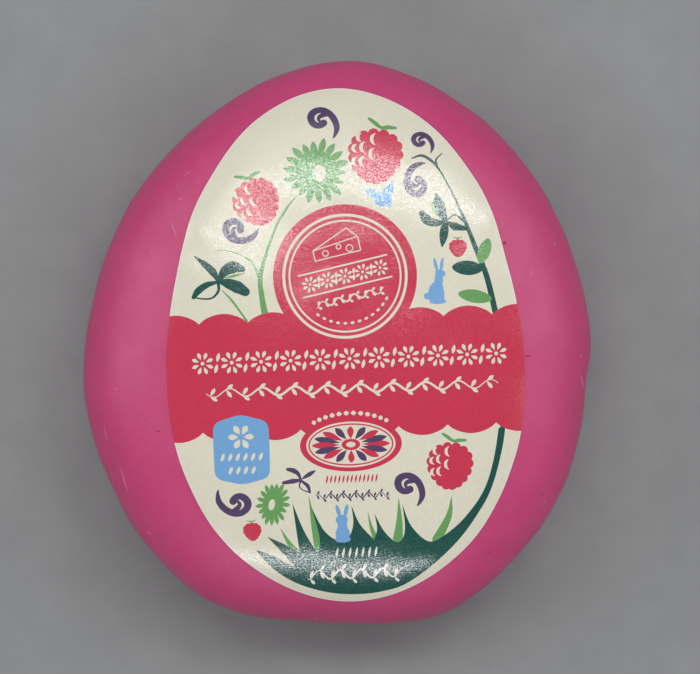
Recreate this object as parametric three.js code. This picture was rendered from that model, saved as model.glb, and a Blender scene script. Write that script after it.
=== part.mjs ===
// A small egg-shaped cheese in a coat of pink wax, lying on its back, with a printed paper label
// on the face that looks up.
//
// Units are millimetres. +Z is up, +Y points to the narrow end of the egg and +X to its right.
// The origin is the middle of the flat spot on which the cheese rests.

import * as THREE from 'three';

// Driving dimensions of the cheese.
const CROWN = 17.0;           // height of the upper half above the widest level
const FULLNESS = 3.0;         // exponent of the flank: 2 is an ellipse, more is fuller
const REST_TURN = 22.5;       // degrees from straight down at which the resting flat cuts the flank
const OUTLINE_STEPS = 72;     // corners around the plan outline
const FLANK_STEPS = 12;       // rings between the middle of the top and the widest level

// An outline is a list of directions, in degrees from its right towards its narrow end, each with
// the distance in millimetres from its middle.
const CHEESE_OUTLINE = [
  [0, 39.6],      // right side, with a slight corner where the wax changes direction
  [15, 39.2],
  [45, 40.7],
  [75, 43.4],
  [87, 44.3],     // narrow end
  [105, 42.5],
  [120, 40.9],    // straight facet on the upper left, as far as 140 degrees
  [139, 39.4],
  [158, 38.7],
  [180, 39.5],    // left side
  [210, 41.8],
  [228, 43.8],
  [244, 45.3],    // left corner of the flattened wide end
  [266, 43.8],
  [290, 45.4],    // right corner of the flattened wide end
  [315, 43.2],
  [345, 39.9],
];

// The label is an egg too, the same on its left and its right.
const LABEL_OUTLINE = [
  [0, 27.0],
  [30, 28.9],
  [55, 35.0],
  [75, 40.7],
  [90, 42.7],     // narrow end
  [105, 40.7],
  [125, 35.0],
  [150, 28.9],
  [180, 27.0],
  [210, 28.9],
  [240, 32.8],
  [270, 35.5],    // wide end
  [300, 32.8],
  [330, 28.9],
];
const LABEL_AT = [1.4, -4.0];      // where the label's middle lies
const LABEL_TILT = 2.0;            // degrees by which the label is turned from +X towards +Y
const LABEL_GAP = 0.25;            // clearance between the wax and the back of the paper
const LABEL_THICKNESS = 0.2;
const LABEL_AROUND = 60;           // corners around the label
const LABEL_RINGS = 9;             // rings between its middle and its edge

const radians = THREE.MathUtils.degToRad;
const restLevel = CROWN * Math.cos(radians(REST_TURN)) ** (2 / FULLNESS);

// Slope of an outline at one of its points, from the points before and after it.
function outlineSlope(outline, index) {
  const count = outline.length;
  const before = outline[(index + count - 1) % count];
  const after = outline[(index + 1) % count];
  const span = (after[0] - before[0] + 360) % 360;
  return (after[1] - before[1]) / span;
}

// Distance from the middle to an outline, by cubic pieces through its points.
function outlineRadius(outline, degrees) {
  const turn = (degrees % 360 + 360) % 360;
  const count = outline.length;
  const past = outline.findIndex((point) => point[0] > turn);
  const last = past < 0 ? count : past;
  const first = last - 1;
  const end = outline[last % count];
  const start = outline[first];
  const span = (end[0] - start[0] + 360) % 360;
  const t = (turn - start[0]) / span;
  const away = t * t * (3 - 2 * t);
  const leaving = t * (1 - t) * (1 - t) * span;
  const arriving = t * t * (t - 1) * span;
  return start[1] * (1 - away) + end[1] * away
    + leaving * outlineSlope(outline, first) + arriving * outlineSlope(outline, last % count);
}

// Height of the upper surface at a place in plan.
function topHeight(x, y) {
  const direction = THREE.MathUtils.radToDeg(Math.atan2(y, x));
  const part = Math.min(Math.hypot(x, y) / outlineRadius(CHEESE_OUTLINE, direction), 1);
  return restLevel + CROWN * (1 - part ** FULLNESS) ** (1 / FULLNESS);
}

// Point at a given distance out from the upper surface, along its normal.
function offTop(x, y, distance) {
  const reach = 0.1;
  const slopeX = (topHeight(x + reach, y) - topHeight(x - reach, y)) / (2 * reach);
  const slopeY = (topHeight(x, y + reach) - topHeight(x, y - reach)) / (2 * reach);
  const normal = new THREE.Vector3(-slopeX, -slopeY, 1).normalize();
  return new THREE.Vector3(x, y, topHeight(x, y)).addScaledVector(normal, distance);
}

// Closed body from a first point, rings of equal count and a last point.
// Seen from the first point, each ring runs anticlockwise.
function bodyFromRings(first, rings, last) {
  const around = rings[0].length;
  const points = [first, ...rings.flat(), last];
  const lastIndex = points.length - 1;
  const faces = [];
  const at = (ring, step) => 1 + ring * around + step % around;
  for (let step = 0; step < around; step += 1) {
    faces.push(0, at(0, step), at(0, step + 1));
    for (let ring = 1; ring < rings.length; ring += 1) {
      faces.push(at(ring - 1, step), at(ring, step), at(ring, step + 1));
      faces.push(at(ring - 1, step), at(ring, step + 1), at(ring - 1, step + 1));
    }
    faces.push(lastIndex, at(rings.length - 1, step + 1), at(rings.length - 1, step));
  }
  const geometry = new THREE.BufferGeometry().setFromPoints(points);
  geometry.setIndex(faces);
  geometry.computeVertexNormals();
  return geometry;
}

// One level ring of the cheese: a share of the plan outline, at a height.
function levelRing(share, height) {
  const ring = [];
  for (let step = 0; step < OUTLINE_STEPS; step += 1) {
    const degrees = 360 * step / OUTLINE_STEPS;
    const radius = share * outlineRadius(CHEESE_OUTLINE, degrees);
    const turn = radians(degrees);
    ring.push(new THREE.Vector3(radius * Math.cos(turn), radius * Math.sin(turn), height));
  }
  return ring;
}

function waxedCheese() {
  const rings = [];
  const turnPerRing = 90 / FLANK_STEPS;
  for (let turn = turnPerRing; turn <= 180 - REST_TURN; turn += turnPerRing) {
    const sideways = Math.sin(radians(turn)) ** (2 / FULLNESS);
    const upright = Math.abs(Math.cos(radians(turn))) ** (2 / FULLNESS);
    const side = turn > 90 ? -1 : 1;
    rings.push(levelRing(sideways, restLevel + side * CROWN * upright));
  }
  const top = new THREE.Vector3(0, 0, restLevel + CROWN);
  const bottom = new THREE.Vector3(0, 0, 0);
  const wax = new THREE.MeshStandardMaterial({ color: 0xc85e82, roughness: 0.4, metalness: 0 });
  const mesh = new THREE.Mesh(bodyFromRings(top, rings, bottom), wax);
  mesh.name = 'waxed_cheese';
  return mesh;
}

// Plan place on the label: a share of the way from its middle to its edge.
function labelPlace(share, degrees) {
  const radius = share * outlineRadius(LABEL_OUTLINE, degrees);
  const turn = radians(degrees + LABEL_TILT);
  return [LABEL_AT[0] + radius * Math.cos(turn), LABEL_AT[1] + radius * Math.sin(turn)];
}

function labelRing(share, distance) {
  const ring = [];
  for (let step = 0; step < LABEL_AROUND; step += 1) {
    const [x, y] = labelPlace(share, 360 * step / LABEL_AROUND);
    ring.push(offTop(x, y, distance));
  }
  return ring;
}

function frontLabel() {
  const face = LABEL_GAP + LABEL_THICKNESS;
  const rings = [];
  for (let ring = 1; ring <= LABEL_RINGS; ring += 1) {
    rings.push(labelRing(ring / LABEL_RINGS, face));
  }
  for (let ring = LABEL_RINGS; ring >= 1; ring -= 1) {
    rings.push(labelRing(ring / LABEL_RINGS, LABEL_GAP));
  }
  const faceMiddle = offTop(LABEL_AT[0], LABEL_AT[1], face);
  const backMiddle = offTop(LABEL_AT[0], LABEL_AT[1], LABEL_GAP);
  const paper = new THREE.MeshStandardMaterial({ color: 0xd8d2c2, roughness: 0.45, metalness: 0 });
  const mesh = new THREE.Mesh(bodyFromRings(faceMiddle, rings, backMiddle), paper);
  mesh.name = 'front_label';
  return mesh;
}

const cheese = new THREE.Group();
cheese.name = 'waxed_egg_cheese';
cheese.add(waxedCheese());
cheese.add(frontLabel());

export default cheese;
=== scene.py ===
import math
import random

import bpy
import numpy as np
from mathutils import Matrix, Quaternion, Vector, geometry


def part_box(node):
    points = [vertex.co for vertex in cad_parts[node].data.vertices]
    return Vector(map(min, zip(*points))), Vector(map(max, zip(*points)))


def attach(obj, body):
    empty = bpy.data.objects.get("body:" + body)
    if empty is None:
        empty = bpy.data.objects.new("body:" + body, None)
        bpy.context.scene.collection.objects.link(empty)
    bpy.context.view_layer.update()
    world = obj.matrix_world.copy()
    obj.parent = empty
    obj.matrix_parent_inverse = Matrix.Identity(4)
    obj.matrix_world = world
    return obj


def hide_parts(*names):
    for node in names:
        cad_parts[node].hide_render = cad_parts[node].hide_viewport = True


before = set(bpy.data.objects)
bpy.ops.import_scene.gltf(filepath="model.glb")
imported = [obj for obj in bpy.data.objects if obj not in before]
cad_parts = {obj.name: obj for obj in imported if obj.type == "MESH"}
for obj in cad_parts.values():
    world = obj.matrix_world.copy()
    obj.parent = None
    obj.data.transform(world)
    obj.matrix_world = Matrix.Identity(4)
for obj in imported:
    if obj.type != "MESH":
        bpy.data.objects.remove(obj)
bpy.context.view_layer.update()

# A small egg-shaped cheese in a coat of pink wax, lying on its back, with a printed paper label on
# the face that looks up. +Z is up, +Y points to the narrow end of the egg and +X to its right.
# Lengths are in millimetres, and each mesh is turned into metres as it is made.

MM = 0.001

# -------------------- driving dimensions

CROWN = 17.0       # height of the cheese above its widest level
FULLNESS = 3.0     # exponent of the flank: 2 is an ellipse, more is fuller

# An outline is a list of directions, in degrees from its right towards its narrow end, each with
# the distance from its middle.
CHEESE_OUTLINE = [
    (0, 39.6), (15, 39.2), (45, 40.7), (75, 43.4), (87, 44.3), (105, 42.5), (120, 40.9), (139, 39.4),
    (158, 38.7), (180, 39.5), (210, 41.8), (228, 43.8), (244, 45.3), (266, 43.8), (290, 45.4),
    (315, 43.2), (345, 39.9),
]
LABEL_OUTLINE = [
    (0, 27.0), (30, 28.9), (55, 35.0), (75, 40.7), (90, 42.7), (105, 40.7), (125, 35.0), (150, 28.9),
    (180, 27.0), (210, 28.9), (240, 32.8), (270, 35.5), (300, 32.8), (330, 28.9),
]
LABEL_AT = (1.4, -4.0)        # where the label's middle lies
LABEL_TILT = 2.0              # degrees by which the label is turned from +X towards +Y
PAPER_THICKNESS = 0.13
PAPER_CLEARANCE = 0.03        # room for the glue between the wax and the paper

TOP_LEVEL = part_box("waxed_cheese")[1][2] / MM
WIDEST_LEVEL = TOP_LEVEL - CROWN
CHEESE_MIDDLE = np.array([0.0, 0.0, WIDEST_LEVEL])

# -------------------- the surface of the cheese


def outline_reach(outline, turn):
    """Distance from the middle to an outline, by cubic pieces through its points. Turns are radians."""
    knots = np.array([point[0] for point in outline], float)
    reach = np.array([point[1] for point in outline], float)
    spans = np.diff(np.append(knots, knots[0] + 360))
    slopes = (np.roll(reach, -1) - np.roll(reach, 1)) / (spans + np.roll(spans, 1))
    degrees = np.degrees(turn) % 360
    first = np.searchsorted(knots, degrees, side="right") - 1
    last = (first + 1) % len(knots)
    t = (degrees - knots[first]) / spans[first]
    away = t * t * (3 - 2 * t)
    leaving = t * (1 - t) ** 2 * spans[first] * slopes[first]
    arriving = t * t * (t - 1) * spans[first] * slopes[last]
    return reach[first] * (1 - away) + reach[last] * away + leaving + arriving


def smooth_step(low, high, values):
    """0 up to low, 1 from high on, and a smooth rise between."""
    t = np.clip((values - low) / (high - low), 0, 1)
    return t * t * (3 - 2 * t)


def size_share(points):
    """How large the cheese would have to be to pass through each point: 1 is its own plain surface."""
    away = points - CHEESE_MIDDLE
    sideways = np.hypot(away[:, 0], away[:, 1])
    sideways = sideways / outline_reach(CHEESE_OUTLINE, np.arctan2(away[:, 1], away[:, 0]))
    upright = np.abs(away[:, 2]) / CROWN
    return (sideways ** FULLNESS + upright ** FULLNESS) ** (1 / FULLNESS)


def onto_cheese(points):
    """Moves each point along its line from the middle of the cheese onto the plain surface."""
    return CHEESE_MIDDLE + (points - CHEESE_MIDDLE) / size_share(points)[:, None]


def top_points(x, y):
    """Points of the plain surface above places in plan."""
    reach = outline_reach(CHEESE_OUTLINE, np.arctan2(y, x))
    part = np.minimum(np.hypot(x, y) / reach, 1)
    return np.stack([x, y, WIDEST_LEVEL + CROWN * (1 - part ** FULLNESS) ** (1 / FULLNESS)], axis=1)


def outward(points):
    """Directions straight out of the plain surface."""
    reach = 0.02
    slopes = [size_share(points + reach * axis) - size_share(points - reach * axis)
              for axis in np.eye(3)]
    normals = np.stack(slopes, axis=1)
    return normals / np.linalg.norm(normals, axis=1, keepdims=True)


def ripples(points, wavelength, count, seed):
    """Smooth random waves of about one wavelength, mostly between -1 and 1."""
    draw = random.Random(seed)
    total = np.zeros(len(points))
    for _ in range(count):
        heading = Vector([draw.gauss(0, 1) for _ in range(3)]).normalized()
        turns = points @ np.array(heading) / (wavelength * draw.uniform(0.75, 1.35))
        total += np.sin(2 * math.pi * (turns + draw.random()))
    return total / math.sqrt(count)


# Shallow dents in the wax: direction around the cheese, height above its widest level, how far the
# dent spreads, and its depth. One with a negative depth is a swelling. The last three rows lie at the
# widest level, where they give the outline its flats and corners.
DENTS = [
    (352, 4, 3.0, 0.16), (345, 9, 2.2, 0.10), (204, 8, 3.4, 0.12), (214, 3, 2.4, 0.14),
    (168, 10, 4.0, 0.10), (22, 11, 3.2, 0.10), (128, 5, 3.0, 0.12), (306, 10, 2.4, 0.12),
    (62, 3, 3.6, 0.14), (95, -3, 4.2, 0.16), (262, 2, 3.0, 0.12), (281, -5, 4.0, 0.15),
    (238, -6, 3.6, 0.14), (20, -7, 4.4, 0.16), (150, -8, 4.2, 0.15), (325, -2, 2.8, 0.12),
    (204, 0, 9.5, 0.52), (91, 0, 5.0, 0.22), (118, 0, 15.0, 0.16), (135, 0, 2.8, 0.20),
    (154, 0, 4.0, 0.26), (289, 0, 5.5, -0.40), (343, 0, 4.0, -0.26), (2, 0, 13.0, -0.24),
    (8, 0, 3.5, -0.14), (310, 0, 8.0, -0.15),
]


def dent_places():
    """The middle of each dent, on the plain surface."""
    turns = np.radians([dent[0] for dent in DENTS])
    heights = np.array([dent[1] for dent in DENTS], float)
    share = (1 - (np.abs(heights) / CROWN) ** FULLNESS) ** (1 / FULLNESS)
    reach = share * outline_reach(CHEESE_OUTLINE, turns)
    return np.stack([reach * np.cos(turns), reach * np.sin(turns), WIDEST_LEVEL + heights], axis=1)


def relief(points):
    """How far the dipped wax stands out from the plain surface at each of its points."""
    height = 0.15 * ripples(points, 27, 9, 3) + 0.03 * ripples(points, 8, 14, 5)
    for place, (_, _, spread, depth) in zip(dent_places(), DENTS):
        away = np.linalg.norm(points - place, axis=1) / spread
        height -= depth * np.exp(-away ** 2)
    return height


# -------------------- meshes


def make_piece(name, points, faces, material):
    """A mesh object from points in millimetres."""
    mesh = bpy.data.meshes.new(name)
    mesh.from_pydata((points * MM).tolist(), [], faces)
    mesh.materials.append(material)
    piece = bpy.data.objects.new(name, mesh)
    bpy.context.scene.collection.objects.link(piece)
    return piece


WAX_BOX = (40.0, 44.0, CROWN)   # half the size of the box that is blown up to the cheese
WAX_STEPS = (150, 166, 60)      # squares along X, Y and Z on that box
WAX_CROWDING = 0.9              # how much closer the squares lie towards its edges, in radians


def box_surface():
    """Points and four-cornered faces of a box of about the cheese's size, facing out."""
    points, faces = [], []
    count = 0
    for axis in range(3):
        across, along = (axis + 1) % 3, (axis + 2) % 3
        for side in (-1, 1):
            first = np.sin(np.linspace(-WAX_CROWDING, WAX_CROWDING, WAX_STEPS[across] + 1))
            second = np.sin(np.linspace(-WAX_CROWDING, WAX_CROWDING, WAX_STEPS[along] + 1))
            grid = np.empty((len(first), len(second), 3))
            grid[..., axis] = side * WAX_BOX[axis]
            grid[..., across] = first[:, None] / math.sin(WAX_CROWDING) * WAX_BOX[across]
            grid[..., along] = second[None, :] / math.sin(WAX_CROWDING) * WAX_BOX[along]
            corner = count + np.arange(grid[..., 0].size).reshape(grid.shape[:2])
            squares = [corner[:-1, :-1], corner[1:, :-1], corner[1:, 1:], corner[:-1, 1:]]
            faces.append(np.stack(squares[::side], axis=-1).reshape(-1, 4))
            points.append(grid.reshape(-1, 3))
            count += corner.size
    points, places = np.unique(np.round(np.concatenate(points), 6), axis=0, return_inverse=True)
    return points, places.ravel()[np.concatenate(faces)]


def wax_piece(material):
    """The cheese in its coat of wax, which settles onto a flat spot where it rests."""
    points, faces = box_surface()
    points = onto_cheese(points + CHEESE_MIDDLE)
    points = points + outward(points) * relief(points)[:, None]
    points[:, 2] = np.maximum(points[:, 2], 0)
    piece = make_piece("wax_coat", points, faces.tolist(), material)
    piece.data.shade_smooth()
    return piece


# -------------------- the print on the label

# Places on the label are (across, along) from its middle, along being towards its narrow end.

INKS = {
    "cream": (0.790, 0.752, 0.612),
    "white": (0.86, 0.83, 0.78),
    "red": (0.640, 0.040, 0.086),
    "light green": (0.152, 0.375, 0.116),
    "dark green": (0.010, 0.088, 0.071),
    "purple": (0.095, 0.058, 0.140),
    "blue": (0.190, 0.420, 0.740),
}

printed = []      # (ink, outline) of every printed shape, the first printed first


def ink(colour, outline):
    """Prints a shape, whose outline is stored so that it runs from right to left over the top."""
    outline = np.asarray(outline, float)
    after = np.roll(outline, -1, axis=0)
    twice_area = np.sum(outline[:, 0] * after[:, 1] - outline[:, 1] * after[:, 0])
    printed.append((colour, outline if twice_area > 0 else outline[::-1]))


def turned(points, degrees, at=(0, 0)):
    """Places turned about their origin, then moved so that the origin comes to lie at a place."""
    turn = math.radians(degrees)
    spin = np.array([[math.cos(turn), math.sin(turn)], [-math.sin(turn), math.cos(turn)]])
    return np.asarray(points, float) @ spin + np.asarray(at, float)


def oval(at, across, along, degrees=0, steps=28):
    """The outline of an ellipse from its two half sizes."""
    turns = np.linspace(0, 2 * math.pi, steps, endpoint=False)
    return turned(np.stack([across * np.cos(turns), along * np.sin(turns)], axis=1), degrees, at)


def smooth_line(points, steps=6):
    """A smooth line through a few points."""
    points = np.asarray(points, float)
    padded = np.vstack([2 * points[0] - points[1], points, 2 * points[-1] - points[-2]])
    line = []
    for before, start, end, after in zip(padded, padded[1:], padded[2:], padded[3:]):
        for t in np.arange(steps) / steps:
            bend = (2 * before - 5 * start + 4 * end - after) * t * t
            twist = (3 * start - before - 3 * end + after) * t ** 3
            line.append(start + 0.5 * ((end - before) * t + bend + twist))
    return np.array(line + [points[-1]])


def stroke(colour, line, widths):
    """A drawn line whose width runs evenly through the given widths, round where it ends broad."""
    line = np.asarray(line, float)
    width = np.interp(np.linspace(0, 1, len(line)), np.linspace(0, 1, len(widths)), widths)
    heading = np.gradient(line, axis=0)
    heading /= np.linalg.norm(heading, axis=1, keepdims=True)
    side = np.stack([-heading[:, 1], heading[:, 0]], axis=1) * width[:, None] / 2
    for first, last in zip(range(len(line) - 1), range(1, len(line))):
        ink(colour, [line[first] - side[first], line[last] - side[last],
                     line[last] + side[last], line[first] + side[first]])
    for end in (0, -1):
        if width[end] > 0.25:
            ink(colour, oval(line[end], width[end] / 2, width[end] / 2, steps=14))


def sweep(colour, points, widths):
    """A drawn line that runs smoothly through a few points."""
    stroke(colour, smooth_line(points), widths)


def leaf(colour, base, tip, width, fullest=0.5, plump=0.8):
    """A leaf from its base to its tip: the smaller plump is, the blunter are its ends."""
    base, tip = np.asarray(base, float), np.asarray(tip, float)
    t = (1 - np.cos(np.linspace(0, math.pi, 13))) / 2
    bulge = np.sin(math.pi * t ** (math.log(0.5) / math.log(fullest))) ** plump * width / 2
    side = np.array([base[1] - tip[1], tip[0] - base[0]]) / np.linalg.norm(tip - base)
    spine = base + t[:, None] * (tip - base)
    left = spine + side * bulge[:, None]
    right = spine - side * bulge[:, None]
    ink(colour, np.vstack([right, left[-2:0:-1]]))


# A curl of size 1: its outer arm from the blunt end inside to the tip of the tail, and the short arm
# inside it. Each point is (across, along, width).
CURL_OUTER = [(0.82, -1.01, 1.15), (0.35, -1.38, 0.95), (-0.35, -1.35, 1.0), (-0.95, -0.85, 1.1),
              (-1.17, -0.05, 1.16), (-0.85, 0.65, 1.12), (-0.1, 1.05, 1.0), (0.8, 1.05, 0.98),
              (1.75, 0.5, 1.05), (2.5, -0.5, 1.05), (2.85, -1.75, 0.95), (2.6, -2.8, 0.6),
              (2.22, -3.5, 0.2)]
CURL_INNER = [(1.35, 0.45, 0.8), (0.65, 0.25, 0.8), (0.1, -0.1, 0.62), (0.1, -0.55, 0.5),
              (0.35, -0.9, 0.4)]


def curl(at, size, degrees, hand=1):
    """A purple curl with a thick rolled head and a tapering tail; hand -1 mirrors it."""
    for arm in (CURL_OUTER, CURL_INNER):
        arm = np.array(arm) * size
        line = smooth_line(arm[:, :2] * (1, hand), 4)
        stroke("purple", turned(line, degrees, at), arm[:, 2])


def drupelets(at, size, degrees, count, radius, taper=0.2):
    """A red berry, narrower below, whose outline is a ring of round drupelets."""
    turns = 2 * math.pi * (np.arange(count) + 0.25) / count
    middles = np.stack([(0.49 - radius) * np.cos(turns) * (1 + taper * np.sin(turns)),
                        (0.51 - radius) * np.sin(turns)], axis=1)
    middles = turned(middles * size, degrees, at)
    ink("red", middles)
    for middle in middles:
        ink("red", oval(middle, radius * size, radius * size, steps=14))


# The cream glints on a berry of height 1: place of the middle, and height.
GLINTS = [(-0.30, 0.33, 0.17), (-0.05, 0.31, 0.22), (-0.375, 0.13, 0.16), (-0.235, 0.155, 0.20),
          (-0.07, 0.04, 0.22), (-0.365, -0.11, 0.17), (-0.235, -0.10, 0.20)]


def raspberry(at, size, degrees=0):
    """A berry with cream glints on its left and a cap of two narrow leaves."""
    drupelets(at, size, degrees, 16, 0.10)
    bow = smooth_line([(0.035, 0.5), (-0.02, 0.2), (-0.02, -0.2), (0.04, -0.5)], 4)
    for across, along, height in GLINTS:
        crescent = bow * (1, height)
        middle = turned([(across * size, along * size)], degrees, at)[0]
        widths = np.array([0.01, 0.062, 0.062, 0.01]) * size
        stroke("cream", turned(crescent * size, degrees, middle), widths)
    cap = smooth_line([(-0.135, 0.685), (-0.03, 0.61), (0.085, 0.525), (0.20, 0.535), (0.34, 0.53)], 4)
    widths = np.array([0.05, 0.075, 0.06, 0.08, 0.05]) * size
    stroke("light green", turned(cap * size, degrees, at), widths)


def small_raspberry(at, size, degrees=0):
    """A small berry without glints, under a cap drawn as one bent line."""
    drupelets(at, size, degrees, 13, 0.17, taper=0.4)
    cap = smooth_line([(-0.27, 0.64), (0, 0.56), (0.27, 0.64)], 4) * size
    stroke("light green", turned(cap, degrees, at), [0.06, 0.24, 0.06])


def daisy(at, across, along, petals, degrees=0, eye=(0.5, -0.4)):
    """A green flower with narrow pointed petals, some longer than others, around a cream middle."""
    for petal in range(petals):
        turn = 2 * math.pi * (petal + 0.3) / petals
        reach = 0.98 + 0.06 * math.sin(7.3 * petal) + 0.05 * math.cos(2.1 * petal)
        tip = np.array([across * math.cos(turn), along * math.sin(turn)]) * reach
        ends = turned([tip * 0.25, tip], degrees, at)
        leaf("light green", ends[0], ends[1], 1.9 * (across + along) / petals, fullest=0.64)
    ink("light green", oval(at, 0.63 * across, 0.63 * along, degrees))
    ink("cream", oval((at[0] + eye[0], at[1] + eye[1]), 0.19 * across, 0.25 * along, degrees))


# Rabbits of height 1, each as ovals: place of the middle, half width, half height, and turn. One sits
# and is seen from its side, the other is upright and seen from behind.
SITTING_RABBIT = [
    (0.02, -0.20, 0.17, 0.26, -20), (0.10, 0.06, 0.10, 0.17, 0), (0.14, 0.22, 0.12, 0.09, -15),
    (0.04, 0.42, 0.04, 0.17, 12), (0.18, 0.42, 0.04, 0.16, -12), (0.06, -0.43, 0.20, 0.06, 0),
    (-0.18, -0.30, 0.08, 0.08, 0), (0.17, -0.28, 0.05, 0.16, 0),
]
UPRIGHT_RABBIT = [
    (0.0, -0.25, 0.19, 0.22, 0), (0.0, -0.05, 0.13, 0.20, 0), (-0.01, 0.12, 0.16, 0.14, 0),
    (-0.10, 0.36, 0.055, 0.17, 14), (0.11, 0.36, 0.055, 0.17, -14), (0.0, -0.40, 0.21, 0.09, 0),
]


def rabbit(at, size, ovals):
    """A plain blue rabbit."""
    for across, along, wide, tall, degrees in ovals:
        middle = (at[0] + across * size, at[1] + along * size)
        ink("blue", oval(middle, wide * size, tall * size, degrees, steps=20))


# The outline of a butterfly of two pairs of wings, in millimetres from its middle.
WINGS = [(-2.37, 1.14), (-1.36, 1.42), (-0.55, 1.0), (0.0, 0.65), (0.72, 1.5), (1.91, 2.37),
         (1.91, 1.14), (1.55, 0.09), (1.64, -0.68), (1.27, -1.5), (0.68, -1.14), (0.14, -1.36),
         (-0.36, -1.18), (-0.91, -0.91), (-1.0, -0.23), (-1.82, 0.36), (-2.37, 1.14)]


def butterfly(at):
    """A plain blue butterfly with its wings spread."""
    ink("blue", smooth_line(np.array(WINGS) + at, 4)[:-1])


SCALLOP = 7.35             # width of one scallop of the red band
BAND_TOP = 7.5             # level of the points between its upper scallops
BAND_BOTTOM = -8.8         # level of the points between its lower scallops
SCALLOP_RISE = 1.45
SCALLOP_START = 0.3        # place of the point in the middle of each row of scallops


def scalloped_band():
    """The red band that crosses the label, with scallops that bulge out above and below."""
    edge = []
    for side, level in ((1, BAND_TOP), (-1, BAND_BOTTOM)):
        line = []
        for scallop in range(-4, 4):
            for t in np.arange(12) / 12:
                across = SCALLOP_START + SCALLOP * (scallop + t)
                line.append((across, level + side * SCALLOP_RISE * math.sin(math.pi * t) ** 0.75))
        edge += line if side > 0 else line[::-1]
    ink("red", edge)


def ring(at, radius, width, steps=72):
    """A cream line round a place."""
    for step in range(steps):
        turns = [2 * math.pi * (step + end) / steps for end in (0, 1)]
        corners = ((-0.5, turns[0]), (0.5, turns[0]), (0.5, turns[1]), (-0.5, turns[1]))
        ink("cream", [(at[0] + (radius + grow * width) * math.cos(turn),
                       at[1] + (radius + grow * width) * math.sin(turn)) for grow, turn in corners])


def blossom(at, radius, petals=8):
    """A small cream flower of slim petals around a dot."""
    for petal in range(petals):
        turn = 2 * math.pi * (petal + 0.5) / petals
        way = np.array([math.cos(turn), math.sin(turn)])
        leaf("cream", at + 0.32 * radius * way, at + radius * way, 2.6 * radius / petals, 0.62)
    ink("cream", oval(at, 0.17 * radius, 0.17 * radius, steps=12))


def vine(colour, middle, half, rise, pitch, width):
    """A wavy line with a small leaf on each side of every wave."""
    across = np.linspace(-half, half, 2 + int(26 * half / pitch))
    wave = rise * np.sin(2 * math.pi * across / pitch)
    line = np.stack([middle[0] + across, middle[1] + wave], axis=1)
    stroke(colour, line, [0.3 * width, width, width, width, 0.3 * width])
    for place in np.arange(0.25, 4 * half / pitch - 0.3):
        start = -half + place * pitch / 2
        level = rise * math.sin(2 * math.pi * start / pitch)
        side = -1 if level > 0 else 1
        base = np.array([middle[0] + start, middle[1] + level])
        leaf(colour, base, base + (0.16 * pitch, side * 1.9 * rise), 1.6 * width, 0.6)
        leaf(colour, base, base + (0.22 * pitch, -side * 1.2 * rise), 1.5 * width, 0.6)


DISC_AT = (0.4, 14.0)
DISC_RADIUS = 10.8
DISC_RINGS = ((9.2, 0.42), (8.35, 0.28))      # radius and width
BADGE_TURN = 11.6          # degrees by which the badge on the disc stands askew
BADGE_RULES = (1.65, -1.7)                    # levels of its two rules, with blossoms between them


def wedge_of_cheese(at, size):
    """A line drawing of a wedge of cheese with a few holes."""
    outline = np.array([(-0.9, -0.35), (-0.9, 0.05), (0.55, 0.62), (0.9, 0.2), (0.9, -0.35),
                        (-0.9, -0.35)])
    for start, end in zip(outline, outline[1:]):
        stroke("cream", np.array([start, end]) * size + at, [0.17, 0.17])
    stroke("cream", np.array([(-0.9, 0.05), (0.9, 0.2)]) * size + at, [0.15, 0.15])
    for across, along, radius in ((-0.45, -0.15, 0.11), (0.1, -0.02, 0.09), (0.5, -0.17, 0.13)):
        ring((at[0] + across * size, at[1] + along * size), radius * size, 0.15, steps=16)


def disc():
    """The red disc above the band, with two cream rings around a generic badge that stands askew."""
    ink("red", oval(DISC_AT, DISC_RADIUS, DISC_RADIUS, steps=84))
    for radius, width in DISC_RINGS:
        ring(DISC_AT, radius, width)
    badge = len(printed)
    wedge_of_cheese((-0.3, 4.6), 3.9)
    for level in BADGE_RULES:
        stroke("cream", [(-6.9, level), (6.9, level)], [0.24, 0.24])
    for place in range(-2, 3):
        middle = np.array([2.7 * place, 0.0])
        blossom(middle, 1.25)
        if place < 2:
            for side in (-1, 1):
                leaf("cream", middle + (1.35, 0), middle + (1.35 + 0.2 * side, 0.95 * side), 0.42)
    vine("cream", (0.0, -3.35), 5.3, 0.42, 2.4, 0.26)
    for place in range(-6, 6):
        turns = [math.radians(270 + 8.8 * (place + part)) for part in (0.2, 0.8)]
        ends = [(7.1 * math.cos(turn), 7.1 * math.sin(turn)) for turn in turns]
        leaf("cream", ends[0], ends[1], 0.42)
    for place in range(badge, len(printed)):
        colour, outline = printed[place]
        printed[place] = (colour, turned(outline, BADGE_TURN, DISC_AT))


def garlands():
    """Two rows of cream ornament across the band: flowers between leaves, and a leafy vine."""
    for place in range(-5, 6):
        middle = np.array([0.65 + 4.42 * place, 1.6])
        blossom(middle, 1.72)
        if place < 5:
            for side in (-1, 1):
                start = middle + (2.21, 0.18 * side)
                leaf("cream", start, start + (0.35 * side, 1.35 * side), 0.55)
    vine("cream", (0.9, -2.9), 22.0, 0.62, 4.9, 0.36)


def rounded(corners, cut):
    """The closed outline with a share of each side cut off at its corners, three times over."""
    edge = np.array(corners, float)
    for _ in range(3):
        after = np.roll(edge, -1, axis=0)
        ends = [edge + cut * (after - edge), after + cut * (edge - after)]
        edge = np.stack(ends, axis=1).reshape(-1, 2)
    return edge


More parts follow.
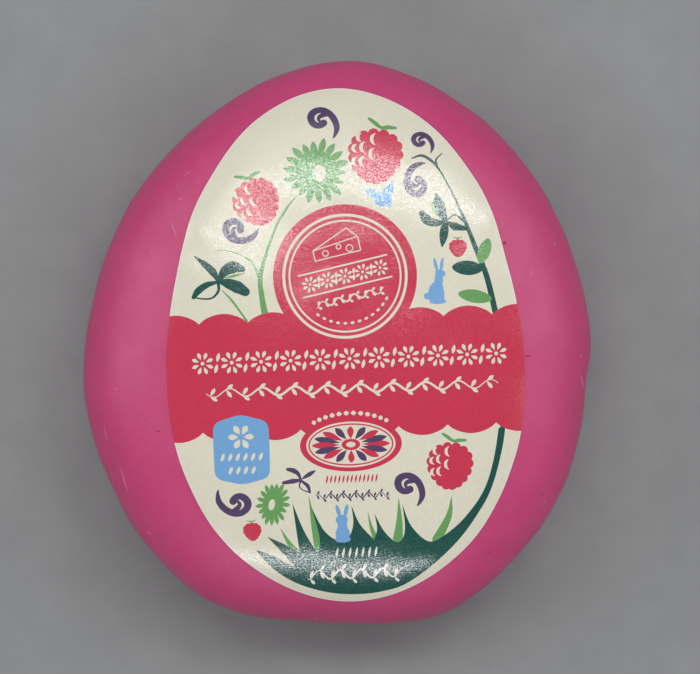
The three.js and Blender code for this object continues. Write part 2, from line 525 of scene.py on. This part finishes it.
def blue_patch():
    """The barrel-shaped blue patch that hangs from the band, with a plain cream ornament."""
    left, right, top, bottom = -20.2, -11.9, -7.4, -15.8
    middle = (left + right) / 2
    side = (top + bottom) / 2
    corners = [(left, top), (middle, top + 1.2), (right, top), (right + 0.1, side),
               (right, bottom), (middle, bottom - 1.05), (left, bottom), (left - 0.1, side)]
    ink("blue", rounded(corners, 0.15))
    flower_level = -9.6
    for petal in range(6):
        turn = 2 * math.pi * petal / 6
        ends = [(middle + reach * math.cos(turn), flower_level + reach * math.sin(turn))
                for reach in (0.4, 1.95)]
        leaf("cream", ends[0], ends[1], 0.9, 0.6)
    for level, count in ((-12.7, 6), (-14.7, 4)):
        for place in np.linspace(-0.5, 0.5, count) * (count - 1):
            foot = np.array([middle + 1.15 * place - 0.25, level - 0.5])
            leaf("cream", foot, foot + (0.5, 1.15), 0.52, plump=0.6)


MEDALLION_AT = (0.4, -11.3)


def medallion():
    """The oval medallion under the band, with a generic rosette in place of a picture."""
    at = MEDALLION_AT
    ink("red", oval(at, 7.65, 4.05, steps=60))
    for colour, across, along in (("cream", 6.7, 3.45), ("red", 6.4, 3.18), ("cream", 6.17, 2.96)):
        ink(colour, oval(at, across, along, steps=56))
    for petal in range(16):
        turn = 2 * math.pi * petal / 16
        tip = (at[0] + 5.9 * math.cos(turn), at[1] + 2.75 * math.sin(turn))
        start = (at[0] + 1.6 * math.cos(turn), at[1] + 0.8 * math.sin(turn))
        leaf("purple" if petal % 2 else "red", start, tip, 1.0, fullest=0.62)
    ink("red", oval(at, 1.4, 0.85, steps=24))
    ink("cream", oval(at, 0.7, 0.42, steps=20))
    for place in range(-6, 6):
        turns = [math.radians(90 + 7.8 * (place + part)) for part in (0.12, 0.88)]
        ends = [(at[0] + 8.0 * math.cos(turn), at[1] + 4.75 * math.sin(turn)) for turn in turns]
        leaf("cream", ends[0], ends[1], 0.68)


def small_rows():
    """A row of fine red leaves and a fine purple vine under the medallion."""
    for place in range(-6, 7):
        foot = np.array([0.2 + 0.62 * place, -17.1])
        leaf("red", foot, foot + (0.3, 1.3), 0.29)
    vine("purple", (0.4, -19.0), 5.6, 0.4, 1.9, 0.2)


def scattered_motifs():
    """Berries, flowers, curls and animals spread over the cream ground."""
    raspberry((5.6, 31.9), 8.5, -4)
    raspberry((-12.5, 25.6), 7.3, 27)
    raspberry((15.2, -15.1), 7.2)
    small_raspberry((17.5, 17.6), 2.7)
    small_raspberry((-14.9, -24.0), 2.8, 3)
    daisy((-3.4, 30.0), 4.95, 4.95, 18, 8)
    daisy((-11.6, -19.8), 2.5, 3.4, 17, -15, eye=(-0.2, -0.15))
    curl((-2.8, 38.2), 0.96, 0)
    curl((12.25, 34.4), 0.68, 4)
    curl((11.5, 27.0), 0.95, 124)
    curl((-16.3, 21.6), 0.95, -56, hand=-1)
    curl((-16.5, -19.9), 0.99, 201)
    curl((8.4, -17.3), 0.96, -8)
    rabbit((13.8, 12.5), 6.5, SITTING_RABBIT)
    rabbit((-1.3, -23.3), 5.7, UPRIGHT_RABBIT)
    butterfly((6.2, 25.6))


def left_sprig():
    """The dark sprig on the left, with one leaf that is only an outline."""
    joint = (-18.6, 13.9)
    sweep("dark green", [joint, (-19.4, 15.3), (-20.6, 16.5), (-22.2, 17.8)], [0.5, 1.15, 0.95, 0.1])
    sweep("dark green", [joint, (-17.6, 15.3), (-16.3, 15.9), (-15.0, 15.6)], [0.5, 1.5, 1.95, 1.0])
    sweep("light green", [(-17.7, 14.35), (-16.4, 14.55), (-14.6, 14.95)], [0.1, 0.42, 0.12])
    sweep("dark green", [joint, (-17.2, 13.5), (-15.8, 12.9), (-14.6, 12.15)], [0.5, 1.5, 1.9, 1.35])
    sweep("dark green", [(-19.0, 13.7), (-20.4, 13.35), (-21.7, 12.5), (-22.4, 11.6)],
          [0.5, 0.95, 1.05, 0.65])
    sweep("dark green", [(-18.6, 13.6), (-18.65, 12.4), (-19.6, 11.4), (-20.9, 11.3), (-22.1, 11.5)],
          [0.5, 0.42, 0.3, 0.24, 0.2])


def right_sprig():
    """The dark sprig on the vine, with a light green edge to one of its leaves."""
    joint = (15.8, 21.7)
    sweep("light green", [(15.0, 22.4), (14.4, 23.3), (14.15, 24.3), (14.3, 25.2)], [0.4, 0.9, 1.0, 0.3])
    sweep("dark green", [joint, (15.25, 23.2), (14.85, 24.6), (14.5, 25.8)], [0.5, 1.5, 1.5, 0.4])
    sweep("dark green", [joint, (14.4, 21.5), (13.0, 22.0), (12.3, 23.0)], [0.3, 1.1, 1.5, 1.0])
    leaf("dark green", (15.8, 21.9), (15.1, 17.8), 1.35, 0.45)
    sweep("dark green", [(15.9, 21.7), (17.1, 20.9), (18.9, 20.5)], [0.2, 1.2, 0.6])


def purple_sprig():
    """The small purple sprig left below the medallion, with one leaf that is only an outline."""
    sweep("purple", [(-7.3, -16.3), (-7.7, -15.4), (-8.4, -14.9), (-9.2, -14.7)], [0.3, 0.6, 0.75, 0.5])
    sweep("purple", [(-7.3, -16.4), (-8.5, -16.5), (-9.9, -16.7)], [0.4, 0.75, 0.5])
    leaf("purple", (-7.3, -16.3), (-5.0, -15.0), 0.65, 0.55)
    sweep("purple", [(-7.2, -16.5), (-6.3, -17.3), (-6.0, -18.3)], [0.35, 0.6, 0.3])
    sweep("purple", [(-7.3, -16.5), (-7.55, -17.3), (-7.0, -17.9), (-6.0, -18.3)], [0.3, 0.2, 0.17, 0.2])


def stems():
    """The stem of the large flower with its side twigs, and the vine up the right of the label."""
    sweep("light green", [(-11.7, 8.2), (-12.1, 10.8), (-12.3, 14.2), (-11.3, 17.8), (-9.7, 21.8),
                          (-7.8, 24.8), (-6.1, 26.6)], [1.0, 0.85, 0.66, 0.46, 0.36, 0.28, 0.12])
    sweep("light green", [(-12.4, 14.0), (-13.4, 16.4), (-14.8, 17.5), (-16.7, 18.3), (-18.9, 18.5)],
          [0.4, 0.32, 0.2, 0.13, 0.08])
    sweep("light green", [(-18.1, 12.5), (-16.6, 10.8), (-14.5, 7.7)], [0.12, 0.34, 0.3])
    sweep("dark green", [(22.9, 7.6), (21.7, 13.2), (20.1, 17.7), (18.7, 21.6), (17.3, 25.1),
                         (15.7, 28.5), (14.8, 30.0), (13.8, 31.1), (12.5, 31.8), (11.0, 31.4)],
          [0.9, 0.85, 0.72, 0.5, 0.3, 0.22, 0.34, 0.44, 0.42, 0.2])
    sweep("dark green", [(14.8, 30.1), (14.7, 31.1), (15.7, 32.1)], [0.34, 0.26, 0.12])
    sweep("dark green", [(15.9, 21.8), (17.2, 22.6), (18.5, 21.6)], [0.2, 0.24, 0.26])
    leaf("light green", (20.7, 15.2), (22.2, 18.9), 1.9, plump=0.55)
    leaf("dark green", (21.2, 14.4), (16.5, 14.8), 2.2, plump=0.55)
    leaf("light green", (22.4, 9.8), (17.3, 10.8), 2.0, plump=0.55)


# The dark green ground, as lines that meet in the tips of its blades and where two blades part.
GROUND = [
    [(-14.6, -26.7), (-11.6, -28.0), (-8.6, -29.7)],
    [(-8.6, -29.7), (-10.8, -27.0), (-12.7, -24.8)],
    [(-12.7, -24.8), (-10.2, -26.0), (-7.9, -27.4)],
    [(-7.9, -27.4), (-8.3, -23.6), (-8.7, -19.8)],
    [(-8.7, -19.8), (-7.1, -24.1), (-5.1, -27.8)],
    [(-5.1, -27.8), (-4.8, -25.2), (-5.9, -20.4)],
    [(-5.9, -20.4), (-4.8, -22.9), (-3.7, -24.6), (-2.1, -25.7), (-0.4, -25.2), (0.35, -23.2),
     (0.15, -20.5)],
    [(0.15, -20.5), (1.35, -23.4), (3.4, -25.8)],
    [(3.4, -25.8), (3.9, -24.2), (3.6, -21.9)],
    [(3.6, -21.9), (4.9, -24.5), (6.7, -26.3), (7.8, -25.6), (8.1, -23.6), (7.8, -20.6)],
    [(7.8, -20.6), (9.1, -24.0), (11.6, -26.4), (14.0, -25.6), (17.2, -23.0), (20.1, -19.2),
     (21.8, -14.4), (22.9, -8.6)],
    [(23.9, -8.6), (23.2, -12.7), (21.7, -17.9), (19.8, -21.7), (15.3, -27.3), (8.7, -32.5),
     (4.3, -34.0), (-0.1, -34.3), (-4.5, -33.7), (-8.8, -32.1), (-12.1, -29.7), (-14.6, -26.7)],
]
# Its light green blades: tip, middle, foot, and width at the foot.
BLADES = [
    ((-10.6, -23.6), (-9.6, -25.6), (-8.3, -27.4), 1.0),
    ((-6.2, -18.9), (-5.6, -23.2), (-4.9, -27.7), 1.35),
    ((2.6, -21.7), (3.0, -23.8), (3.55, -25.4), 0.8),
    ((7.3, -19.7), (7.3, -23.0), (7.0, -25.8), 1.5),
    ((15.3, -19.7), (14.8, -22.6), (12.9, -26.2), 1.5),
]


def grass():
    """The dark green ground with its blades and its sweep up the right, and two white rows on it."""
    for tip, middle, foot, width in BLADES:
        sweep("light green", [tip, middle, foot], [0.06, 0.6 * width, width])
    ink("dark green", np.vstack([smooth_line(line, 5)[:-1] for line in GROUND]))
    for place in range(-3, 4):
        foot = np.array([0.5 + 0.98 * place, -28.5])
        leaf("white", foot, foot + (0.35, 1.65), 0.36)
    vine("white", (0.5, -31.0), 7.4, 0.7, 3.2, 0.32)


def print_label():
    """The whole print, from the shapes that lie lowest to those on top."""
    grass()
    stems()
    left_sprig()
    right_sprig()
    purple_sprig()
    scattered_motifs()
    scalloped_band()
    disc()
    garlands()
    medallion()
    blue_patch()
    small_rows()


# -------------------- the label

EDGE_STEPS = 420            # corners around the label
INSIDE_SPACING = 1.0        # spacing of the points that let the paper bend
INSIDE_MARGIN = 0.5         # how far they stay from the label's edge where it is narrowest
HALF_WIDTH = 27.0           # from the label's middle to its edge there
BARE_EDGE = 0.13            # width of the unprinted rim that the cutter leaves

# Where the paper's edge buckles off the wax: direction from the label's middle, how far the buckle
# spreads along the edge, and its height.
BUCKLES = [
    (134, 2.2, 0.16), (140, 1.6, -0.02), (146, 2.6, 0.13), (44, 2.4, 0.17), (51, 2.0, 0.10),
    (66, 3.0, 0.08), (112, 3.0, 0.08), (228, 2.6, 0.10), (243, 2.4, 0.07), (305, 2.8, 0.09),
    (322, 2.4, 0.07),
]


def label_edge(inset=0.0):
    """The label's outline, or a line that runs so far inside it."""
    turns = np.linspace(0, 2 * math.pi, EDGE_STEPS, endpoint=False)
    reach = outline_reach(LABEL_OUTLINE, turns) - inset
    return np.stack([reach * np.cos(turns), reach * np.sin(turns)], axis=1)


def edge_share(places):
    """0 at the middle of the label and 1 at its edge."""
    turns = np.arctan2(places[:, 1], places[:, 0])
    return np.linalg.norm(places, axis=1) / outline_reach(LABEL_OUTLINE, turns)


def buckle(places):
    """How far the flat paper, which can't stretch over the egg, stands off the wax near its edge."""
    turns = np.arctan2(places[:, 1], places[:, 0])
    along = np.linalg.norm(places, axis=1)
    height = np.zeros(len(places))
    for degrees, spread, rise in BUCKLES:
        away = (turns - math.radians(degrees) + math.pi) % (2 * math.pi) - math.pi
        height += rise * np.exp(-(away * along / spread) ** 2)
    return height * smooth_step(0.72, 1.0, edge_share(places))


def drape(places, lift):
    """Points of the paper over places on the label, at a height off the wax."""
    plan = turned(places, LABEL_TILT, LABEL_AT)
    base = top_points(plan[:, 0], plan[:, 1])
    return base + outward(base) * (relief(base) + buckle(places) + lift)[:, None]


def paper_normals(places):
    """Directions straight out of the draped paper."""
    reach = 0.05
    across = drape(places + (reach, 0), 0) - drape(places - (reach, 0), 0)
    along = drape(places + (0, reach), 0) - drape(places - (0, reach), 0)
    normals = np.cross(across, along)
    return normals / np.linalg.norm(normals, axis=1, keepdims=True)


def inside_points():
    """Staggered rows of points over the label, a little in from its edge."""
    wide_end, narrow_end, side = -36, 43.5, 28
    rows = np.arange(wide_end, narrow_end, INSIDE_SPACING * math.sqrt(3) / 2)
    points = [(across + INSIDE_SPACING / 2 * (row % 2), along)
              for row, along in enumerate(rows) for across in np.arange(-side, side, INSIDE_SPACING)]
    points = np.array(points)
    return points[edge_share(points) * HALF_WIDTH < HALF_WIDTH - INSIDE_MARGIN]


def flat_label():
    """Cuts the flat label into triangles along every printed edge, and gives each triangle its ink."""
    outlines = [label_edge(), label_edge(BARE_EDGE)] + [outline for _, outline in printed]
    inks = ["white", "cream"] + [colour for colour, _ in printed]
    faces, start = [], 0
    for outline in outlines:
        faces.append(list(range(start, start + len(outline))))
        start += len(outline)
    points = np.vstack(outlines + [inside_points()])
    inside, tolerance = 1, 1e-4
    found = geometry.delaunay_2d_cdt([Vector(point) for point in points], [], faces, inside, tolerance)
    places, triangles, parents = found[0], found[2], found[5]
    kept = [(triangle, inks[max(shapes)]) for triangle, shapes in zip(triangles, parents)
            if 0 in shapes]
    used = sorted({corner for triangle, _ in kept for corner in triangle})
    order = {corner: place for place, corner in enumerate(used)}
    triangles = np.array([[order[corner] for corner in triangle] for triangle, _ in kept])
    return np.array([places[corner] for corner in used]), triangles, [colour for _, colour in kept]


def open_edges(triangles):
    """The edges that only one triangle has, each in that triangle's direction."""
    edges = {tuple(edge) for shift in range(3)
             for edge in np.roll(triangles, shift, axis=1)[:, :2].tolist()}
    return sorted(edge for edge in edges if edge[::-1] not in edges)


def label_piece(material):
    """The label, a thin closed sheet that follows the wax, with its print as a colour attribute."""
    places, triangles, inks = flat_label()
    count = len(places)
    back = drape(places, PAPER_CLEARANCE)
    face = drape(places, PAPER_CLEARANCE + PAPER_THICKNESS)
    rim = open_edges(triangles)
    faces = triangles.tolist() + (triangles[:, ::-1] + count).tolist()
    faces += [(end, start, start + count, end + count) for start, end in rim]
    piece = make_piece("label_paper", np.vstack([face, back]), faces, material)

    colours = np.full((len(piece.data.loops), 4), 1.0)
    colours[:, :3] = INKS["white"]
    colours[:3 * len(triangles), :3] = np.repeat([INKS[colour] for colour in inks], 3, axis=0)
    layer = piece.data.color_attributes.new("print", "FLOAT_COLOR", "CORNER")
    layer.data.foreach_set("color", colours.ravel())

    normals = paper_normals(places)
    outside = np.cross(face[[end for _, end in rim]] - face[[start for start, _ in rim]],
                       normals[[start for start, _ in rim]])
    outside /= np.linalg.norm(outside, axis=1, keepdims=True)
    corners = [normals[triangles.ravel()], -normals[triangles[:, ::-1].ravel()],
               np.repeat(outside, 4, axis=0)]
    piece.data.shade_smooth()
    piece.data.normals_split_custom_set(np.vstack(corners).tolist())
    flat_map(piece, places, triangles, rim)
    return piece


def flat_map(piece, places, triangles, rim):
    """Lays the label out flat: its face large, its back small beside it, its rim in a thin strip."""
    low, high = places.min(axis=0), places.max(axis=0)
    share = (places - low) / (high - low)[1]
    face = share * 0.98 + 0.01
    back = share * (0.24, 0.24) + (0.74, 0.01)
    strip = [(0.75 + 0.2 * step / len(rim), 0.5 + 0.002 * side)
             for step in range(len(rim)) for side in (0, 1, 2, 3)]
    corners = np.vstack([face[triangles.ravel()], back[triangles[:, ::-1].ravel()], strip])
    layer = piece.data.uv_layers.new(name="OFBake")
    layer.uv.foreach_set("vector", corners.astype(np.float32).ravel())


# -------------------- materials


class Nodes:
    """A material's node tree, with its shader at the end."""

    def __init__(self, name):
        self.material = bpy.data.materials.new(name)
        self.material.use_nodes = True
        self.tree = self.material.node_tree
        self.shader = self.tree.nodes["Principled BSDF"]
        self.place = self.add("ShaderNodeTexCoord").outputs["Object"]

    def add(self, kind, **settings):
        """A new node of a kind, with its settings."""
        node = self.tree.nodes.new(kind)
        for name, value in settings.items():
            setattr(node, name, value)
        return node

    def link(self, value, socket):
        """Sets a socket to a number or colour, or joins it to another node's output."""
        if isinstance(value, bpy.types.NodeSocket):
            self.tree.links.new(value, socket)
        else:
            socket.default_value = value

    def noise(self, feature, detail, roughness=0.5):
        """Smooth noise from 0 to 1 whose features are about so many millimetres across."""
        node = self.add("ShaderNodeTexNoise")
        self.link(self.place, node.inputs["Vector"])
        node.inputs["Scale"].default_value = 1 / (feature * MM)
        node.inputs["Detail"].default_value = detail
        node.inputs["Roughness"].default_value = roughness
        return node.outputs["Fac"]

    def ramp(self, value, low, high, to_low=0.0, to_high=1.0):
        """A smooth change from one number to another while a value goes from low to high."""
        node = self.add("ShaderNodeMapRange", interpolation_type="SMOOTHSTEP")
        for name, number in (("Value", value), ("From Min", low), ("From Max", high),
                             ("To Min", to_low), ("To Max", to_high)):
            self.link(number, node.inputs[name])
        return node.outputs["Result"]

    def combine(self, operation, first, second):
        """Two values put through one arithmetic operation."""
        node = self.add("ShaderNodeMath", operation=operation)
        self.link(first, node.inputs[0])
        self.link(second, node.inputs[1])
        return node.outputs[0]

    def blend(self, amount, first, second, kind="MIX"):
        """Two colours mixed by an amount."""
        node = self.add("ShaderNodeMix", data_type="RGBA", blend_type=kind)
        self.link(amount, node.inputs["Factor"])
        self.link(first, node.inputs["A"])
        self.link(second, node.inputs["B"])
        return node.outputs["Result"]

    def bump(self, height, distance, normal=None):
        """Relief whose full range is so many millimetres high."""
        node = self.add("ShaderNodeBump")
        node.inputs["Distance"].default_value = distance * MM
        self.link(height, node.inputs["Height"])
        if normal is not None:
            self.link(normal, node.inputs["Normal"])
        return node.outputs["Normal"]

    def mark(self, at, length, width, degrees, strength, shaken):
        """A soft-edged mark on the upper face, over shaken places so that it isn't a neat oval."""
        place = top_points(np.array([at[0]], float), np.array([at[1]], float))[0] * MM
        node = self.add("ShaderNodeMapping", vector_type="TEXTURE")
        self.link(shaken, node.inputs["Vector"])
        node.inputs["Location"].default_value = place
        node.inputs["Rotation"].default_value = (0, 0, math.radians(degrees))
        node.inputs["Scale"].default_value = (length / 2 * MM, width / 2 * MM, MARK_DEPTH * MM)
        size = self.add("ShaderNodeVectorMath", operation="LENGTH")
        self.link(node.outputs["Vector"], size.inputs[0])
        return self.ramp(size.outputs["Value"], 1.0, 0.4, 0.0, strength)


# Marks on the wax beside the label: place in plan, length, width, the direction of its length,
# and how strongly it shows.
PALE_MARKS = [
    ((-23.6, 22.0), 0.55, 0.45, 0, 1.0), ((-33.4, -6.9), 0.55, 0.45, 0, 0.9),
    ((33.6, 15.2), 0.6, 0.5, 0, 0.9), ((-35.4, -20.2), 0.6, 0.4, 60, 0.8),
    ((-24.5, 17.2), 3.7, 0.34, 110, 0.9), ((-22.7, 18.8), 2.2, 0.24, 125, 0.6),
    ((-24.1, 23.9), 1.9, 0.24, 95, 0.5), ((-22.7, 25.9), 2.3, 0.24, 38, 0.5),
    ((-35.3, -13.6), 3.4, 0.4, 101, 0.6), ((-32.4, -21.0), 4.8, 0.45, 106, 0.8),
    ((-32.8, -19.4), 1.4, 0.35, 96, 0.6), ((38.0, -5.9), 3.4, 0.5, 108, 0.8),
    ((37.7, -2.0), 0.9, 0.4, 60, 0.6), ((32.2, -24.3), 0.8, 0.35, 120, 0.7),
    ((-28.6, -29.2), 1.1, 0.45, 140, 0.8), ((-3.0, -42.4), 0.6, 0.5, 0, 1.0),
    ((29.7, 10.7), 1.6, 0.3, 70, 0.35),
]
DARK_MARKS = [
    ((25.6, 15.2), 0.62, 0.55, 0, 1.0), ((-26.8, -13.3), 0.4, 0.35, 0, 0.8),
    ((29.1, -1.9), 1.1, 0.22, 5, 0.8), ((23.5, -32.1), 0.9, 0.4, 40, 0.45),
    ((31.5, -23.3), 0.7, 0.4, 120, 0.5), ((-28.7, 14.1), 0.5, 0.4, 0, 0.3),
    ((-28.7, -11.6), 0.7, 0.55, 20, 0.3),
]
MARK_DEPTH = 6.0            # how far above and below its place a mark still shows

WAX_PINKS = ((0.585, 0.049, 0.180, 1), (0.612, 0.056, 0.196, 1))
MOTTLE_PINK = (0.630, 0.080, 0.235, 1)
DUSTY_PINK = (0.72, 0.22, 0.36, 1)
RUBBED_PINK = (0.76, 0.28, 0.42, 1)
# Colour of the dark marks: small dents drawn much darker than the wax around them.
DARK_MARK_RED = (0.16, 0.010, 0.035, 1)
FLOOR_GREYS = ((0.271, 0.279, 0.280, 1), (0.292, 0.300, 0.301, 1))


def shaken_place(nodes, grain=0.5, shift=0.25):
    """The place on the surface, moved by up to a shift that changes over a grain's width."""
    wander = nodes.add("ShaderNodeTexNoise")
    nodes.link(nodes.place, wander.inputs["Vector"])
    wander.inputs["Scale"].default_value = 1 / (grain * MM)
    drift = nodes.add("ShaderNodeVectorMath", operation="MULTIPLY_ADD")
    nodes.link(wander.outputs["Color"], drift.inputs[0])
    drift.inputs[1].default_value = (shift * MM,) * 3
    nodes.link(nodes.place, drift.inputs[2])
    return drift.outputs["Vector"]


def wax_material():
    """Satin pink wax: clouded colour, faint orange peel, scuffs, and a few nicks and rubs."""
    nodes = Nodes("pink_wax")
    shader = nodes.shader

    shaken = shaken_place(nodes)
    pale = 0.0
    for mark in PALE_MARKS:
        pale = nodes.combine("MAXIMUM", pale, nodes.mark(*mark, shaken))
    dark = 0.0
    for mark in DARK_MARKS:
        dark = nodes.combine("MAXIMUM", dark, nodes.mark(*mark, shaken))

    clouds = nodes.ramp(nodes.noise(17, 3), 0.3, 0.7)
    colour = nodes.blend(clouds, *WAX_PINKS)
    mottle = nodes.ramp(nodes.noise(1.3, 4, 0.6), 0.35, 0.75)
    colour = nodes.blend(nodes.combine("MULTIPLY", mottle, 0.3), colour, MOTTLE_PINK)
    dust = nodes.ramp(nodes.noise(0.35, 2), 0.72, 0.80)
    colour = nodes.blend(nodes.combine("MULTIPLY", dust, 0.3), colour, DUSTY_PINK)
    colour = nodes.blend(nodes.combine("MULTIPLY", pale, 0.55), colour, RUBBED_PINK)
    # Darkens the wax in the small dents of the dark marks.
    colour = nodes.blend(nodes.combine("MULTIPLY", dark, 0.80), colour, DARK_MARK_RED)
    nodes.link(colour, shader.inputs["Base Color"])

    rough = nodes.ramp(nodes.noise(6, 4, 0.6), 0.3, 0.7, 0.40, 0.52)
    rough = nodes.combine("ADD", rough, nodes.combine("MULTIPLY", pale, 0.15))
    nodes.link(rough, shader.inputs["Roughness"])

    peel = nodes.bump(nodes.noise(1.6, 3), 0.030)
    grain = nodes.bump(nodes.noise(0.30, 3, 0.6), 0.006, normal=peel)
    dips = nodes.combine("SUBTRACT", nodes.combine("MULTIPLY", pale, 0.3), dark)
    nick = nodes.bump(dips, 0.12, normal=grain)
    nodes.link(nick, shader.inputs["Normal"])

    shader.inputs["IOR"].default_value = 1.44
    shader.inputs["Specular IOR Level"].default_value = 0.8
    shader.inputs["Subsurface Weight"].default_value = 0.12
    shader.inputs["Subsurface Radius"].default_value = (1.0, 0.28, 0.40)
    shader.inputs["Subsurface Scale"].default_value = 1.2 * MM
    return nodes.material


def label_material():
    """Satin label paper: its print, slightly mottled, under a finely pebbled film that sparkles."""
    nodes = Nodes("label_paper")
    shader = nodes.shader
    inks = nodes.add("ShaderNodeAttribute", attribute_name="print").outputs["Color"]
    speckle = nodes.ramp(nodes.noise(0.9, 3, 0.7), 0.30, 0.72, 0.975, 1.02)
    grey = nodes.add("ShaderNodeCombineColor")
    for channel in ("Red", "Green", "Blue"):
        nodes.link(speckle, grey.inputs[channel])
    colour = nodes.blend(1.0, inks, grey.outputs["Color"], "MULTIPLY")
    nodes.link(colour, shader.inputs["Base Color"])

    rough = nodes.ramp(nodes.noise(0.5, 2), 0.3, 0.7, 0.15, 0.21)
    nodes.link(rough, shader.inputs["Roughness"])
    grains = nodes.ramp(nodes.noise(0.225, 1), 0.37, 0.63, 0.25, 1.12)
    # The film is less glossy on the palest inks.
    parts = nodes.add("ShaderNodeSeparateColor")
    nodes.link(inks, parts.inputs["Color"])
    dulled = nodes.ramp(parts.outputs["Green"], 0.45, 0.70, 1.0, 0.62)
    nodes.link(nodes.combine("MULTIPLY", grains, dulled), shader.inputs["Specular IOR Level"])
    cockle = nodes.bump(nodes.noise(3.2, 1), 0.015)
    pebble = nodes.bump(nodes.noise(0.26, 1), 0.015, normal=cockle)
    nodes.link(pebble, shader.inputs["Normal"])
    shader.inputs["IOR"].default_value = 1.6
    return nodes.material


def floor_material():
    """Plain matt grey with faint clouds."""
    nodes = Nodes("floor_grey")
    cloud = nodes.ramp(nodes.noise(9, 5, 0.65), 0.3, 0.7)
    colour = nodes.blend(cloud, *FLOOR_GREYS)
    nodes.link(colour, nodes.shader.inputs["Base Color"])
    nodes.shader.inputs["Roughness"].default_value = 0.85
    return nodes.material


# -------------------- floor, light and camera


def lay_floor(material):
    """A plain square floor under the cheese."""
    half = 900.0
    corners = np.array([(-half, -half, 0), (half, -half, 0), (half, half, 0), (-half, half, 0)])
    floor = make_piece("floor", corners, [(0, 1, 2, 3)], material)


PANEL_DISTANCE = 800.0       # from the middle of the cheese to each light


def panel_light(name, watts, lean, turn, size, twist=0.0):
    """A soft panel that faces the cheese: how far it leans from straight above it, towards which
    direction in plan, and how far it is twisted in its own plane, all in degrees."""
    light = bpy.data.lights.new(name, "AREA")
    light.shape = "RECTANGLE"
    light.size, light.size_y = size[0] * MM, size[1] * MM
    light.energy = watts
    lamp = bpy.data.objects.new(name, light)
    lean, turn = math.radians(lean), math.radians(turn)
    away = Vector((math.sin(lean) * math.cos(turn), math.sin(lean) * math.sin(turn), math.cos(lean)))
    target = Vector(CHEESE_MIDDLE) * MM
    lamp.location = target + away * PANEL_DISTANCE * MM
    facing = away.to_track_quat("Z", "Y") @ Quaternion((0.0, 0.0, 1.0), math.radians(twist))
    lamp.rotation_euler = facing.to_euler()
    bpy.context.scene.collection.objects.link(lamp)


def light_scene():
    """Faint light from all round, four panels beyond the narrow end, and one on each other side."""
    world = bpy.data.worlds.new("studio")
    world.use_nodes = True
    background = world.node_tree.nodes["Background"]
    background.inputs["Color"].default_value = (0.95, 0.97, 1.0, 1)
    background.inputs["Strength"].default_value = 0.14
    bpy.context.scene.world = world
    panel_light("window_left", 0.42, 26, 128, (230, 115), twist=-38)
    panel_light("window_middle", 0.57, 17, 97, (220, 130), twist=-7)
    panel_light("window_right", 1.20, 28.3, 51, (350, 180), twist=39)
    panel_light("window_glow", 0.68, 28, 86, (700, 400))
    panel_light("wide_end_panel", 1.40, 46, 267, (600, 90))
    panel_light("left_panel", 1.47, 53, 164, (460, 360))
    panel_light("right_panel", 1.36, 55, 14, (560, 420))


CAMERA_HEIGHT = 350.0        # above the widest level of the cheese
VIEW_WIDTH = 110.4           # what the camera sees at that level
CAMERA_OVER = (2.06, 0.86)   # the point of that level that it looks straight down on


def place_camera():
    """A camera that looks straight down, as the photograph was taken."""
    camera = bpy.data.cameras.new("camera")
    camera.sensor_width = 36
    camera.lens = camera.sensor_width * CAMERA_HEIGHT / VIEW_WIDTH
    camera.clip_start = 0.01
    viewer = bpy.data.objects.new("camera", camera)
    viewer.location = (CAMERA_OVER[0] * MM, CAMERA_OVER[1] * MM, (WIDEST_LEVEL + CAMERA_HEIGHT) * MM)
    bpy.context.scene.collection.objects.link(viewer)
    bpy.context.scene.camera = viewer


# -------------------- putting it together

bpy.context.scene.view_settings.view_transform = "Standard"
place_camera()
light_scene()
lay_floor(floor_material())

wax_coat = wax_piece(wax_material())
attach(wax_coat, "root")
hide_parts("waxed_cheese")

print_label()
label_paper = label_piece(label_material())
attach(label_paper, "root")
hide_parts("front_label")
